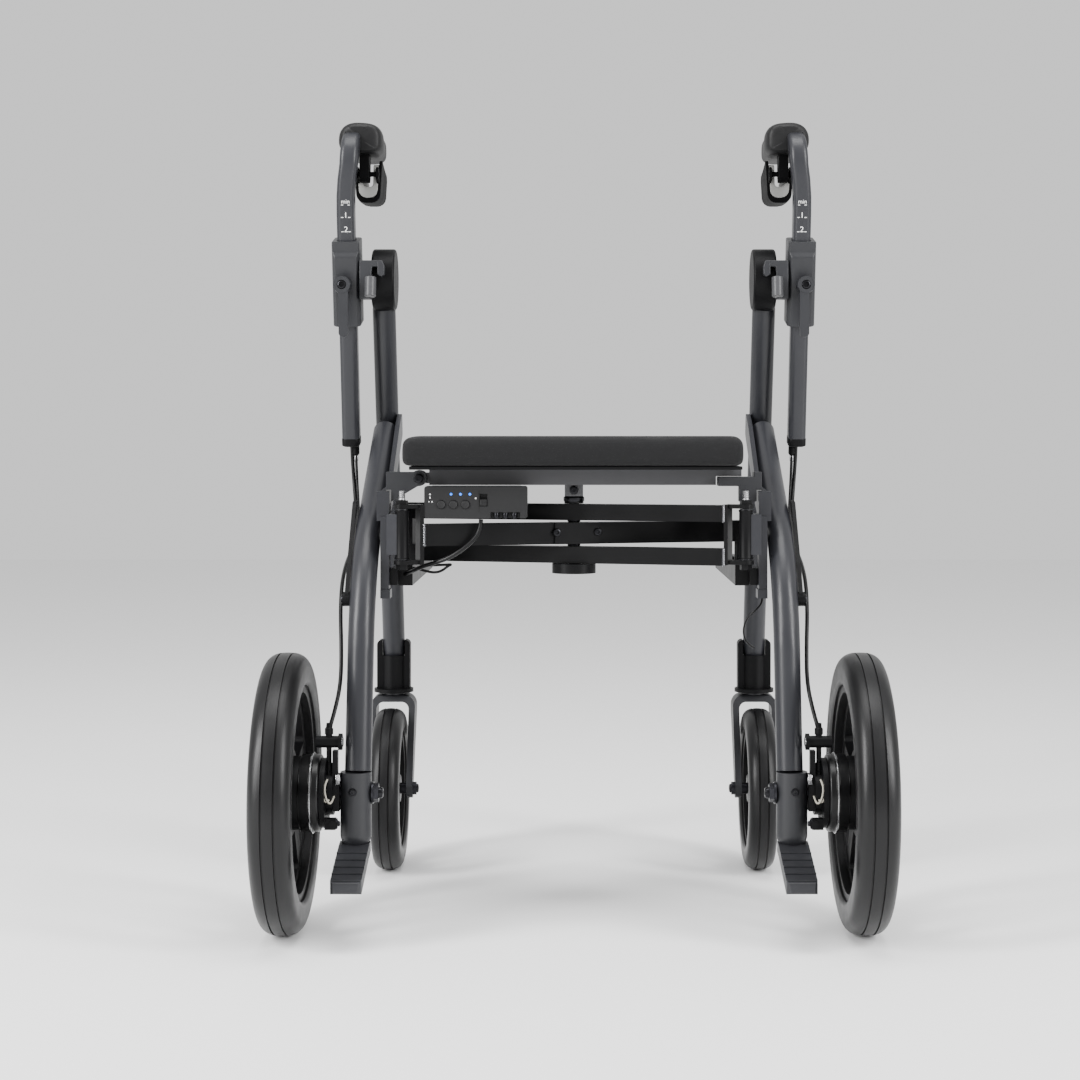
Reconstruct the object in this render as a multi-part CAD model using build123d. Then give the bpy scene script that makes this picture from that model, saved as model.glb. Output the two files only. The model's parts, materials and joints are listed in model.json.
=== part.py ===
"""Folding rollator walker with power-assisted rear wheels, in millimetres, one STEP file per piece.

+X is to the right and +Y is forward, seen by someone walking behind it, and +Z is up. The origin is
on the floor, under the middle of the walker. Each side is drawn once, as the right-hand side, with
Y counted from the rear axle, and then moved and mirrored.
"""

import os
from math import cos, pi, radians, sin, tan

from build123d import *

# wheels
REAR_RADIUS = 152.5
REAR_WIDTH = 45.0
REAR_X = 314.3
FRONT_RADIUS = 100.0
FRONT_WIDTH = 36.0
FRONT_AXLE_Y = 347.0
CASTER_X = 231.0
CASTER_Y = 400.0
SPOKES = 5

# side frame
FRONT_TUBE_R = 14.0
FRONT_TUBE_WALL = 2.0
FRONT_TUBE_LOW = (CASTER_X, 406.0, 263.0)
FRONT_TUBE_HIGH = (CASTER_X, 260.0, 699.0)
LEG_R = 14.5
LEG_POINTS = [(235.8, 0.0, 176.0), (234.5, 34.0, 396.0), (231.0, 281.0, 549.0)]
LEG_BEND = 200.0
FLANGE_IN = 212.0
PEDAL_RIBS = 5

# folding brace: two arms that cross at a post and turn on barrels beside the rear legs
BARREL_X = 192.0
BARREL_Y = 50.0
BARREL_R = 7.0
BARREL_Z = (404.0, 461.0)
POST_Y = 108.0
POST_R = 6.2
ARM_DEPTH = 20.0
SINGLE_Z = (419.5, 444.0)
DOUBLE_LOW_Z = (397.5, 416.5)
DOUBLE_HIGH_Z = (446.5, 465.0)
PIN_R = 4.0
RAIL_Z = (372.0, 395.0)
RAIL_Y = (100.0, 436.0)
SLOT_Y = (157.0, 426.0)

# seat
SEAT_PIVOT = (-175.0, 495.0)
PAD_X = 192.0
PAD_Y = (10.0, 208.0)
PAD_Z = (509.0, 541.5)
BAR_Y = (84.0, 104.0)
BAR_Z = (487.0, 505.0)
BOX_X = (-167.0, -52.0)
BOX_Y = (46.0, 70.0)
BOX_Z = (450.5, 486.5)

# handles
HANDLE_X = 272.0
HANDLE_Y = 229.0
HANDLE_Z = 732.0
HANDLE_LEAN = 13.1
GRIP_X = 257.0
GRIP_Z = 896.0
GRIP_Y = (206.0, 322.0)
LEVER_X = 248.0
LEVER_PIVOT = (226.0, 857.0)
CABLE_R = 2.4

GAP = 0.4
RUNNING = 0.05

MIDDLE_Y = (FRONT_AXLE_Y + FRONT_RADIUS - REAR_RADIUS) / 2


def block(x, y, z):
    """A box from three (low, high) pairs."""
    size = [b - a for a, b in (x, y, z)]
    centre = [(a + b) / 2 for a, b in (x, y, z)]
    return Pos(*centre) * Box(*size)


def rod_x(radius, x, y, z):
    """A cylinder along X, from x[0] to x[1]."""
    return Pos((x[0] + x[1]) / 2, y, z) * Rot(0, 90, 0) * Cylinder(radius, x[1] - x[0])


def rod_y(radius, x, y, z):
    """A cylinder along Y, from y[0] to y[1]."""
    return Pos(x, (y[0] + y[1]) / 2, z) * Rot(90, 0, 0) * Cylinder(radius, y[1] - y[0])


def rod_z(radius, x, y, z):
    """A cylinder along Z, from z[0] to z[1]."""
    return Pos(x, y, (z[0] + z[1]) / 2) * Cylinder(radius, z[1] - z[0])


def tube(points, radii, radius, bore=0.0):
    """A round tube or rod along straight runs joined by tangent arcs."""
    path = FilletPolyline(*points, radius=radii) if radii else Polyline(*points)
    start = Plane(origin=path @ 0, z_dir=path % 0)
    solid = sweep(start * Circle(radius), path=path)
    if bore:
        solid -= sweep(start * Circle(bore), path=path)
    return solid


def side_plate(outline, corner, thickness, x=0.0):
    """A plate seen from the side, from (y, z) points with rounded corners, from x towards +X."""
    with BuildSketch(Plane.YZ) as side:
        with BuildLine():
            Polyline(*outline, close=True)
        make_face()
        fillet(side.vertices(), corner)
    return Pos(x, 0, 0) * extrude(side.sketch, thickness)


def turned(points, y, z):
    """A solid turned about the X axis through y, z, from (x, radius) points."""
    profile = make_face(Polyline(*[(x, r) for x, r in points], close=True))
    return Pos(0, y, z) * revolve(profile, Axis.X)


def cord_radii(points):
    """The largest arcs that a cord's runs leave room for: 0.45 of the shorter run at each corner."""
    radii = []
    for before, here, after in zip(points, points[1:], points[2:]):
        come = Vector(*here) - Vector(*before)
        go = Vector(*after) - Vector(*here)
        turn = radians(come.get_angle(go))
        radii.append(0.45 * min(come.length, go.length) / tan(turn / 2))
    return radii


# ---- wheels ---------------------------------------------------------------------------------------


def tyre(radius, width, rim_radius, x, y):
    """A solid tyre with rounded shoulders and two shallow grooves round the tread."""
    half = width / 2
    shoulder = width * 0.36
    with BuildSketch(Plane.XY) as section:
        with Locations((0, (radius + rim_radius) / 2)):
            RectangleRounded(width, radius - rim_radius, min(shoulder, (radius - rim_radius) * 0.49))
        for side in (-1, 1):
            with Locations((side * half * 0.3, radius)):
                Rectangle(1.6, 3.0, mode=Mode.SUBTRACT)
    return Pos(x, y, radius) * revolve(section.sketch, Axis.X)


def rim(radius, outer, inner, width, hub_radius, spoke_width, x, y):
    """A moulded wheel: a rim, a hub, and a web with rounded windows that leaves broad spokes."""
    ring = rod_x(outer, (-width / 2, width / 2), 0, 0)
    ring -= rod_x(inner, (-width, width), 0, 0)
    hub = rod_x(hub_radius, (-width / 2, width / 2), 0, 0)
    web = rod_x(inner + 2.0, (-width * 0.2, width * 0.2), 0, 0)
    windows = Circle(inner - 4.0) - Circle(hub_radius + spoke_width * 0.3)
    for turn in range(SPOKES):
        spoke = Pos(outer / 2, 0) * Rectangle(outer, spoke_width)
        windows -= Rot(0, 0, 90 + 360.0 * turn / SPOKES) * spoke
    windows = fillet(windows.vertices(), spoke_width * 0.25)
    web -= Plane.YZ * extrude(windows, width, both=True)
    return Pos(x, y, radius) * (ring + hub + web)


def rear_wheel():
    rim_outer = REAR_RADIUS - 34.0
    parts = {"rear_tyre": tyre(REAR_RADIUS, REAR_WIDTH, rim_outer + 0.05, REAR_X, 0)}
    wheel = rim(REAR_RADIUS, rim_outer, rim_outer - 10.0, 34.0, 40.0, 24.0, REAR_X, 0)
    wheel -= rod_x(36.0, (REAR_X - 40, REAR_X + 12), 0, REAR_RADIUS)
    wheel -= rod_x(8.0, (REAR_X - 40, REAR_X + 40), 0, REAR_RADIUS)
    parts["rear_rim"] = wheel
    motor = [(REAR_X + 11.8, 8.0), (REAR_X + 11.8, 35.9), (REAR_X - 17.3, 35.9), (REAR_X - 17.3, 42.0)]
    motor += [(286.0, 42.0), (286.0, 43.2), (283.0, 43.2), (283.0, 42.0), (277.0, 42.0), (275.5, 40.5)]
    motor += [(275.5, 8.0)]
    parts["motor_hub"] = turned(motor, 0, REAR_RADIUS)
    return parts


def front_wheel():
    rim_outer = FRONT_RADIUS - 26.0
    wheel = rim(FRONT_RADIUS, rim_outer, rim_outer - 8.0, 26.0, 17.0, 13.0, CASTER_X, FRONT_AXLE_Y)
    wheel -= rod_x(5.05, (CASTER_X - 20, CASTER_X + 20), FRONT_AXLE_Y, FRONT_RADIUS)
    rubber = tyre(FRONT_RADIUS, FRONT_WIDTH, rim_outer + 0.05, CASTER_X, FRONT_AXLE_Y)
    return {"front_tyre": rubber, "front_rim": wheel}


def caster_fork():
    """The fork turns on a stem in the head, and its arms trail back to the wheel."""
    outline = [(418, 213), (386, 213), (336, 104), (338, 92), (346, 88), (356, 90), (359, 100)]
    outline += [(418, 190)]
    side = side_plate(outline, 4, 57.0, CASTER_X - 28.5)
    arch = Pos(CASTER_X, 143) * RectangleRounded(57, 140, 15)
    arch -= Pos(CASTER_X, 134) * RectangleRounded(41, 140, 9)
    behind = Plane(origin=(0, 430, 0), x_dir=(1, 0, 0), z_dir=(0, -1, 0))
    fork = side & (behind * extrude(arch, 110))
    fork += rod_z(15.0, CASTER_X, CASTER_Y, (212.5, 215))
    fork += rod_z(9.0, CASTER_X, CASTER_Y, (214, 249))
    hole = rod_x(5.0, (CASTER_X - 40, CASTER_X + 40), FRONT_AXLE_Y, FRONT_RADIUS)
    axle = rod_x(5.0, (CASTER_X - 28.6, CASTER_X + 28.6), FRONT_AXLE_Y, FRONT_RADIUS)
    for side in (-1, 1):
        face = CASTER_X + side * 28.6
        axle += rod_x(8.0, sorted((face, face + side * 4.5)), FRONT_AXLE_Y, FRONT_RADIUS)
        inside = CASTER_X + side * 13.4
        axle += rod_x(7.0, sorted((inside, CASTER_X + side * 20.3)), FRONT_AXLE_Y, FRONT_RADIUS)
    return {"caster_fork": fork - hole, "front_axle": axle}


# ---- side frame -----------------------------------------------------------------------------------


def front_post():
    """The straight tube from the caster's head up to the handle joint."""
    return tube([FRONT_TUBE_LOW, FRONT_TUBE_HIGH], None, FRONT_TUBE_R, FRONT_TUBE_R - FRONT_TUBE_WALL)


def whole_post(extra):
    """A solid rod round the front tube, longer at both ends, to cut other pieces clear of it."""
    low, high = Vector(*FRONT_TUBE_LOW), Vector(*FRONT_TUBE_HIGH)
    step = (high - low).normalized() * 8
    return tube([low - step, high + step], None, FRONT_TUBE_R + extra)


def rear_leg():
    leg = tube(LEG_POINTS, [LEG_BEND], LEG_R, LEG_R - 2)
    return leg - whole_post(0.1)


def whole_leg(extra):
    return tube(LEG_POINTS, [LEG_BEND], LEG_R + extra)


def side_casting():
    """The inner flange along the leg, its block and the bar below it, and the brace's barrel."""
    outline = [(298, 572), (262, 556), (150, 485), (74, 481)]
    outline += [(68, 447), (104, 440), (160, 462), (306, 545)]
    flange = side_plate(outline, 5, 5.5, FLANGE_IN)
    flange += block((208, 222), (66, 96), (447, 480))
    bar = block((208, 217.5), (64, 86), (369, 452))
    foot = block((206.5, 217.5), (62, 88), (360, 370))
    web = block((BARREL_X + 4, 209), (BARREL_Y - 5, BARREL_Y + 5), (410, 455))
    web += block((203, 209), (BARREL_Y - 5, 80), (410, 455))
    barrel = rod_z(BARREL_R, BARREL_X, BARREL_Y, BARREL_Z)
    casting = flange + bar + foot + web + barrel
    casting -= rod_z(PIN_R + RUNNING, BARREL_X, BARREL_Y, (390, 470))
    casting -= whole_post(0.2)
    return casting - whole_leg(0.2)


def slide_rail():
    """The rail that the front end of an arm slides along, held by the casting and the front tube."""
    low, high = RAIL_Z
    half_slot = PIN_R + GAP
    rail = block((BARREL_X - 8, BARREL_X + 8), RAIL_Y, RAIL_Z)
    hollow = (RAIL_Y[0] + 16, RAIL_Y[1] - 6)
    rail -= block((BARREL_X - 5.5, BARREL_X + 5.5), hollow, (low + 3, high - 3))
    rail -= block((BARREL_X - half_slot, BARREL_X + half_slot), SLOT_Y, (low + 3, high + 1))
    rail += block((BARREL_X + 7, 219), (352, 378), (374, 393))
    rail += block((BARREL_X + 7, 207.8), (76, 112), (374, 393))
    return rail - whole_post(0.2)


def leg_socket():
    """The moulding at the foot of the leg, which takes the axle, with the ribbed tipping pedal."""
    socket = rod_z(17, 238, -2, (108, 175.8))
    socket += Pos(238, -2, 108) * Sphere(17)
    outline = [(2, 100), (-14, 98), (-102, 75), (-104, 64), (-96, 62), (-16, 84), (6, 88)]
    pedal = side_plate(outline, 2, 33.0, 222.5)
    slope = 14.6
    for rib in range(PEDAL_RIBS):
        along = -98 + 16 * rib
        height = 98 + (along + 14) * tan(radians(slope))
        pedal += Pos(239, along, height) * Rot(slope, 0, 0) * Box(33, 2.4, 2.4)
    plan = Pos(239, 16) * RectangleRounded(33, 240, 8)
    socket += pedal & (Pos(0, 0, 50) * extrude(plan, 70))
    socket -= rod_x(6.05, (200, 280), 0, REAR_RADIUS)
    return socket - whole_leg(0.1)


def rear_axle():
    """The axle, its nut inside the leg, and the washer against the socket."""
    axle = rod_x(6.0, (211, 324), 0, REAR_RADIUS)
    axle += Pos(213.2, 0, REAR_RADIUS) * Rot(0, 90, 0) * extrude(RegularPolygon(10.5, 6), 5.5)
    axle += rod_x(12.0, (218.6, 220.8), 0, REAR_RADIUS)
    axle += rod_x(7.9, (276, 326), 0, REAR_RADIUS)
    return axle - whole_leg(0.1)


def brake_plate():
    """The fixed plate of the drum brake, with its torque arm and the stub that anchors the cable."""
    plate = rod_x(38.0, (269.5, 275.0), 0, REAR_RADIUS)
    plate += rod_x(24.0, (262.0, 270.0), 0, REAR_RADIUS)
    plate += block((255.3, 263.0), (-12, 14), (134, 172))
    plate += block((257.0, 262.5), (-14, -2), (150, 200))
    plate += rod_x(6.5, (252.5, 281.0), -6, 209)
    plate += rod_x(9.0, (252.5, 256.5), -6, 209)
    plate += rod_z(2.6, 267.0, -6, (178, 208))
    plate += rod_z(4.2, 267.0, -6, (168, 186))
    plate += rod_y(4.5, 260.0, (-26, -12), 122)
    plate += block((258, 270), (-24, -14), (116, 128))
    plate -= rod_x(6.05, (200, 280), 0, REAR_RADIUS)
    plate -= rod_z(CABLE_R + 0.05, 267.0, -6, (206, 220))
    return plate


def caster_head():
    """The housing for the fork's stem, with cheeks that run up beside the front tube."""
    head = rod_z(14.5, CASTER_X, CASTER_Y, (219, 262))
    head += rod_z(25.0, CASTER_X, CASTER_Y, (215.6, 220))
    cheeks = block((CASTER_X - 21, CASTER_X + 21), (393, 414), (219.5, 282))
    outer_top = [e for e in cheeks.edges().filter_by(Axis.Y) if e.center().Z > 281]
    cheeks = fillet(outer_top, 6)
    head += cheeks - block((CASTER_X - 14.6, CASTER_X + 14.6), (380, 420), (262, 290))
    head -= rod_z(9.0 + RUNNING, CASTER_X, CASTER_Y, (200, 249.5))
    return head - whole_post(0.2)


def cable_arm():
    """The bar outside the leg that keeps the brake cable off the wheel."""
    outline = [(140, 470), (118, 466), (60, 400), (34, 366), (44, 354), (76, 392), (132, 456)]
    arm = side_plate(outline, 4, 4.5, 250.0)
    arm += rod_x(8.0, (246.0, 257.0), 42, 361)
    return arm - whole_leg(0.2)


# ---- handles --------------------------------------------------------------------------------------

LEAN = radians(HANDLE_LEAN)
HANDLE = Plane(origin=(HANDLE_X, HANDLE_Y, HANDLE_Z), x_dir=(1, 0, 0), z_dir=(0, -sin(LEAN), cos(LEAN)))
HANDLE_WIDTH = 21.0
HANDLE_DEPTH = 28.0
HANDLE_LOW = -200.0


def handle_section(extra, low, high):
    """A length of the handle's rounded section, grown by extra on every side."""
    face = RectangleRounded(HANDLE_WIDTH + 2 * extra, HANDLE_DEPTH + 2 * extra, 5 + extra)
    return HANDLE * extrude(Pos(0, 0, low) * face, high - low)


def joint_disc():
    """The round joint at the top of the front tube, and the yoke that carries the sleeve."""
    disc = rod_x(37.0, (215, 243), 249, HANDLE_Z)
    disc = fillet(disc.edges(), 3)
    yoke = block((242, 255.3), (232, 266), (HANDLE_Z - 22, HANDLE_Z + 22))
    disc += fillet(yoke.edges().filter_by(Axis.X), 4)
    disc -= rod_x(15, (242.9, 256), 249, HANDLE_Z - 4)
    disc += rod_x(11, (242, 255.3), 249, HANDLE_Z - 4)
    return disc - whole_post(0.1)


def handle_sleeve():
    sleeve = HANDLE * (Pos(0, -2, -4) * Box(33, 50, 102))
    sleeve = fillet(sleeve.edges().filter_by(lambda e: e.length > 90), 6)
    sleeve += rod_y(10.0, HANDLE_X + 3, (196, 206), 722)
    sleeve -= rod_y(4.05, HANDLE_X + 3, (180, 215), 722)
    return sleeve - handle_section(GAP, -80, 80)


def clamp_lever():
    """The lever that clamps the handle in its sleeve, and its screw."""
    lever = rod_y(10.0, HANDLE_X + 3, (188.5, 195.6), 722)
    blade = Pos(HANDLE_X + 1, 192, 690) * Box(11, 6, 60)
    lever += fillet(blade.edges().filter_by(Axis.Y), 5)
    lever += rod_y(4.0, HANDLE_X + 3, (190, 209), 722)
    return lever - rod_y(5.5, HANDLE_X + 3, (186, 190.5), 722)


def handle_tube():
    """The sliding handle tube, hollow below for the cable, with the bar that the grip fits."""
    pole = handle_section(0, HANDLE_LOW, 168)
    pole -= HANDLE * (Pos(0, 0, -100) * Box(14, 20, 202))
    pole += rod_y(11.0, GRIP_X, (190, GRIP_Y[1] - 8), GRIP_Z)
    pole += block((LEVER_X - 8, LEVER_X + 8), (216, 236), (850, 888))
    return pole + rod_x(3.0, (LEVER_X - 14, LEVER_X + 14), *LEVER_PIVOT)


def grip():
    """The palm-shaped grip round the bar, wider than it is high."""
    section = Plane(origin=(GRIP_X, GRIP_Y[0], GRIP_Z), x_dir=(1, 0, 0), z_dir=(0, 1, 0)) * Ellipse(25, 19)
    body = extrude(section, GRIP_Y[1] - GRIP_Y[0])
    body = fillet(body.edges(), 5)
    body -= rod_y(11.0, GRIP_X, (190, GRIP_Y[1] - 8), GRIP_Z)
    body -= block((LEVER_X - 8, LEVER_X + 8), (216, 236), (850, 888))
    return body - handle_section(0, 0, 168)


def brake_lever():
    """The brake lever, a channel under the grip that turns on two ears."""
    channel = block((LEVER_X - 14, LEVER_X + 14), (237, 318), (826, 860))
    channel -= block((LEVER_X - 10.5, LEVER_X + 10.5), (230, 330), (830, 870))
    bottom = [e for e in channel.edges().filter_by(Axis.Y) if e.center().Z < 827]
    channel = fillet(bottom, 7)
    for side in (-1, 1):
        ear = sorted((LEVER_X + side * 10.5, LEVER_X + side * 14))
        channel += block(ear, (220, 240), (849, 865))
    return channel - rod_x(3.0 + RUNNING, (LEVER_X - 20, LEVER_X + 20), *LEVER_PIVOT)


def axis_point(along):
    """A point on the handle's own axis, at a distance up from the joint."""
    return (HANDLE_X, HANDLE_Y - along * sin(LEAN), HANDLE_Z + along * cos(LEAN))


CABLE_ROUTE = [
    axis_point(-165),
    axis_point(-212),
    (270.0, 284.0, 486.0),
    (265.0, 262.0, 450.0),
    (261.5, 220.0, 424.0),
    (261.0, 172.0, 408.0),
    (262.5, 126.0, 396.0),
    (263.0, 84.0, 376.0),
    (261.0, 52.0, 346.0),
    (257.5, 30.0, 308.0),
    (256.5, 16.0, 270.0),
    (262.0, 2.0, 240.0),
    (267.0, -6.0, 222.0),
    (267.0, -6.0, 207.0),
]


def brake_cable():
    return tube(CABLE_ROUTE, cord_radii(CABLE_ROUTE), CABLE_R)


# ---- folding brace --------------------------------------------------------------------------------

ARM_HALF = ((BARREL_X**2) + (POST_Y - BARREL_Y) ** 2) ** 0.5
ARM_TURN = 180 / pi * (POST_Y - BARREL_Y) / ARM_HALF


def arm_frame(side):
    """The plane of an arm: X along it from its barrel, which is on the given side, and Z up."""
    origin = (side * BARREL_X, BARREL_Y, 0)
    along = (-side * BARREL_X, POST_Y - BARREL_Y, 0)
    return Plane(origin=origin, x_dir=along, z_dir=(0, 0, 1))


def yoke():
    """The plate and ears at the rear end of an arm, with the hinge pin between the ears."""
    shape = block((18, 22.5), (-12, 12), (399, 466))
    for low, high in ((399, 403.5), (461.5, 466)):
        ear = block((0, 22), (-9, 9), (low, high)) + rod_z(9, 0, 0, (low, high))
        shape += ear
    shape += rod_z(PIN_R, 0, 0, (394, 471))
    for low, high in ((393, 399), (466, 470.5)):
        shape += Pos(0, 0, low) * extrude(RegularPolygon(7, 6), high - low)
    return shape


def arm_tube(z):
    """One rectangular tube of an arm, from the yoke's plate to the front pin."""
    half = ARM_DEPTH / 2
    return block((22.4, 2 * ARM_HALF + 9), (-half, half), z)


def single_arm():
    """The arm with one tube, on the left barrel, which holds the post in its collar."""
    arm = yoke() + arm_tube(SINGLE_Z)
    arm += rod_z(PIN_R, 2 * ARM_HALF, 0, (380, SINGLE_Z[0] + 1))
    arm += block((ARM_HALF - 26, ARM_HALF + 26), (-13, 13), SINGLE_Z)
    arm = arm_frame(-1) * arm
    return arm - rod_z(POST_R, 0, POST_Y, (380, 480))


def double_arm():
    """The arm with two tubes, on the right barrel, which turns on the post."""
    arm = yoke() + arm_tube(DOUBLE_LOW_Z) + arm_tube(DOUBLE_HIGH_Z)
    far = 2 * ARM_HALF
    arm += block((far - 6, far + 9), (-8, 8), (DOUBLE_LOW_Z[1] - 1, DOUBLE_HIGH_Z[0] + 1))
    arm += rod_z(PIN_R, far, 0, (380, DOUBLE_LOW_Z[0] + 1))
    arm = arm_frame(1) * arm
    return arm - rod_z(POST_R + RUNNING, 0, POST_Y, (380, 480))


def centre_post():
    post = rod_z(POST_R, 0, POST_Y, (388, 468))
    post += rod_z(25.0, 0, POST_Y, (386, 396.8))
    post += rod_z(11.0, 0, POST_Y, (465.6, 473))
    return post


# ---- seat -----------------------------------------------------------------------------------------


def seat_bracket(side):
    """The bracket on the side casting: the left one is the seat's hinge, the right one its rest."""
    if side < 0:
        hinge_side = [(-206, 502), (-176, 502), (-166, 495), (-176, 486), (-206, 468.5)]
        with BuildSketch(Plane.XZ) as outline:
            with BuildLine():
                Polyline(*hinge_side, close=True)
            make_face()
            fillet(outline.vertices().group_by(Axis.X)[-1], 4)
        plate = Pos(0, 82, 0) * extrude(outline.sketch, 12.0)
        plate += rod_y(9.0, SEAT_PIVOT[0], (70, 82), SEAT_PIVOT[1])
        plate += block((-211.8, -203), (70, 98), (482, 502))
        plate += rod_y(PIN_R, SEAT_PIVOT[0], (68, 103), SEAT_PIVOT[1])
        return plate + rod_y(6.0, SEAT_PIVOT[0], (67, 70), SEAT_PIVOT[1])
    rest = block((163, 206), (72, 102), (486, 496.4))
    rest += block((186, 206), (72, 84), (468.5, 490))
    return rest + block((203, 211.8), (72, 98), (482, 502))


def seat_frame():
    """The seat's two cross bars, joined at the ends, with the hinge ear and the stop for the post."""
    bar = block((-164, 190), BAR_Y, BAR_Z)
    bar -= block((161, 195), (70, 110), (480, 497))
    front = block((-150, 150), (180, 198), (489, 505))
    frame = bar + front
    for x in (-140, 130):
        frame += block((x, x + 16), (BAR_Y[1] - 1, 181), (491, 505))
    ear = rod_y(8.5, SEAT_PIVOT[0], (BAR_Y[0], BAR_Y[1]), SEAT_PIVOT[1])
    ear += block((SEAT_PIVOT[0], -163), BAR_Y, (SEAT_PIVOT[1] - 6, SEAT_PIVOT[1] + 6))
    frame += ear
    frame += block((-10.5, 10.5), (94, 102), (474, 488))
    frame += rod_y(5.0, 0, (91.5, 94), 481)
    return frame - rod_y(PIN_R + RUNNING, SEAT_PIVOT[0], (60, 110), SEAT_PIVOT[1])


def hinge_notch():
    """The space at the seat's left end that swings past its hinge bracket as it folds up."""
    return block((-PAD_X - 1, SEAT_PIVOT[0] + 8), (66, 102), (BAR_Z[1], PAD_Z[1] + 1))


def seat_board():
    return block((-182, 186), (20, 200), (505.1, 508.9)) - hinge_notch()


def seat_pad():
    """The padded seat, cut back at its left end, which passes the frame as the seat folds up."""
    low, high = PAD_Z
    outline = [(-PAD_X, low), (-PAD_X, 522), (-175, 530), (-133, high), (PAD_X - 4, high)]
    outline += [(PAD_X, high - 6), (PAD_X, low)]
    face = make_face(Polyline(*[(x, PAD_Y[1], z) for x, z in outline], close=True))
    return extrude(face, PAD_Y[1] - PAD_Y[0], dir=(0, -1, 0)) - hinge_notch()


BUTTON_X = (-148.0, -134.5, -121.0)
BUTTON_Z = 466.0
SWITCH_X = -101.0
SOCKET_X = (-86.5, -76.5, -66.5)


def control_box():
    """The control unit under the seat bar, with pockets for its buttons, switch and sockets."""
    face, back = BOX_Y
    floor = BOX_Z[0]
    pocket = (face - 1, face + 6)
    case = block(BOX_X, BOX_Y, BOX_Z)
    case = fillet(case.edges().filter_by(Axis.Y), 3)
    case += block((-160, -60), (back - 1, BAR_Y[0] - 0.3), (470, 486.5))
    for x in BUTTON_X:
        case -= rod_y(5.0, x, pocket, BUTTON_Z)
    case -= block((SWITCH_X - 4.5, SWITCH_X + 4.5), pocket, (BUTTON_Z - 2, BUTTON_Z + 12))
    case -= block((-93, -60), (face - 1, face + 8), (floor - 1, floor + 7))
    for x in SOCKET_X:
        case += rod_z(3.2, x, face + 4, (floor + 1.5, floor + 8))
    return case


def control_buttons():
    face = BOX_Y[0]
    parts = {}
    for number, x in enumerate(BUTTON_X, start=1):
        parts[f"power_button_{number}"] = rod_y(4.6, x, (face - 1.2, face + 4.4), BUTTON_Z)
    half = 3.8
    depth = (face - 1.5, face + 5.5)
    knob = block((SWITCH_X - half, SWITCH_X + half), depth, (BUTTON_Z - 1.4, BUTTON_Z + 6))
    parts["slide_switch"] = knob
    return parts


CONTROL_ROUTE = [
    (-104.0, 57.0, 449.0),
    (-105.0, 56.0, 436.0),
    (-114.0, 53.0, 424.0),
    (-128.0, 51.0, 413.0),
    (-142.0, 53.0, 405.0),
    (-157.0, 59.0, 400.0),
    (-171.0, 68.0, 395.5),
    (-184.0, 79.0, 389.0),
    (-192.0, 98.0, 385.0),
]


def control_cable():
    return tube(CONTROL_ROUTE, cord_radii(CONTROL_ROUTE), CABLE_R)


# ---- the whole walker -----------------------------------------------------------------------------


def side_parts():
    parts = {
        "front_tube": front_post(),
        "rear_leg": rear_leg(),
        "side_casting": side_casting(),
        "slide_rail": slide_rail(),
        "leg_socket": leg_socket(),
        "rear_axle": rear_axle(),
        "brake_plate": brake_plate(),
        "caster_head": caster_head(),
        "cable_arm": cable_arm(),
        "joint_disc": joint_disc(),
        "handle_sleeve": handle_sleeve(),
        "clamp_lever": clamp_lever(),
        "handle_tube": handle_tube(),
        "grip": grip(),
        "brake_lever": brake_lever(),
        "brake_cable": brake_cable(),
    }
    for group in (rear_wheel(), front_wheel(), caster_fork()):
        parts.update(group)
    return parts


def middle_parts():
    parts = {
        "left_seat_bracket": seat_bracket(-1),
        "right_seat_bracket": seat_bracket(1),
        "single_arm": single_arm(),
        "double_arm": double_arm(),
        "centre_post": centre_post(),
        "seat_frame": seat_frame(),
        "seat_board": seat_board(),
        "seat_pad": seat_pad(),
        "control_box": control_box(),
        "control_cable": control_cable(),
    }
    parts.update(control_buttons())
    return parts


def main():
    os.makedirs("parts", exist_ok=True)
    shift = Pos(0, -MIDDLE_Y, 0)
    for name, shape in side_parts().items():
        export_step(shift * shape, f"parts/right_{name}.step")
        export_step(shift * mirror(shape, about=Plane.YZ), f"parts/left_{name}.step")
    for name, shape in middle_parts().items():
        export_step(shift * shape, f"parts/{name}.step")
    for name, route in (("brake cable", CABLE_ROUTE), ("control cable", CONTROL_ROUTE)):
        print(name, "bend radii", [round(r, 1) for r in cord_radii(route)])


main()
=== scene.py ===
"""The looks of the folding rollator walker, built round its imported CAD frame, in metres.

+X is to the right and +Y is forward, away from the camera, and +Z is up. Pieces are drawn from the
boxes of the CAD nodes and from the joints' places, and each one rides on the body that it belongs to.
"""

import json
import math

import bmesh
import bpy
import numpy as np
from mathutils import Matrix, Vector


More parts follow.
